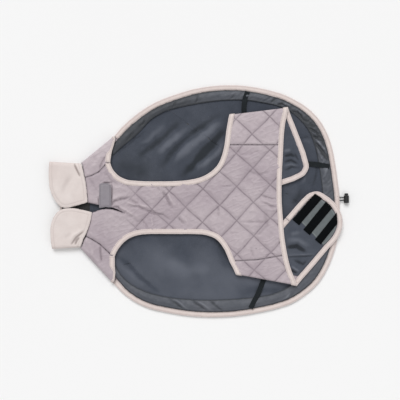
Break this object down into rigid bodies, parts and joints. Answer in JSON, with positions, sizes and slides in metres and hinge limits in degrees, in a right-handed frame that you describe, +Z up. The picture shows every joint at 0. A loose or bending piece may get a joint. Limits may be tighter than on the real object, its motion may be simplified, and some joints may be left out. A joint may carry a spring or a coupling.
{
  "type": "dog winter coat",
  "caption": "Quilted dog winter coat laid flat and open side up, with a pale collar, bound leg holes, tucked belly wings, hook strips, leg elastics and a drawcord hem.",
  "frame": {"origin": "middle of the coat's box in plan, on the surface it lies on; the drawcord and its lock are left out", "axes": "+X from the neck to the tail end, +Y across the coat, +Z up off the surface"},
  "size_m": [0.6004, 0.4652, 0.0178],
  "materials": {
    "quilted_cloth": "matte quilted polyester",
    "lining_fleece": "short fleece",
    "channel_cloth": "smooth taffeta",
    "binding_tape": "woven stretch binding",
    "collar_cloth": "smooth woven",
    "tab_cloth": "woven tape",
    "patch_cloth": "woven ground",
    "hook_tape": "hook fastener",
    "elastic": "woven elastic",
    "cord": "braided cord",
    "plastic": "moulded, satin"
  },
  "bodies": {
    "root": {"back_shell": "quilted_cloth", "back_lining": "lining_fleece", "hem_casing": "channel_cloth", "hem_binding": "binding_tape", "shoulder_upper": "quilted_cloth", "shoulder_lower": "quilted_cloth", "chest_panel": "quilted_cloth", "wing_upper": "quilted_cloth", "wing_lower": "quilted_cloth", "wing_upper_lining": "lining_fleece", "wing_lower_lining": "lining_fleece", "shoulder_upper_binding": "binding_tape", "shoulder_lower_binding": "binding_tape", "leg_binding_upper": "binding_tape", "leg_binding_lower": "binding_tape", "belly_binding": "binding_tape", "collar": "collar_cloth", "collar_facing": "lining_fleece", "throat_tab": "tab_cloth", "hook_patch": "patch_cloth", "hook_strip_1": "hook_tape", "hook_strip_2": "hook_tape", "hook_strip_3": "hook_tape", "leg_elastic_upper": "elastic", "leg_elastic_lower": "elastic", "drawcord": "cord", "cord_lock": "plastic", "cord_lock_button": "plastic"}
  },
  "joints": []
}
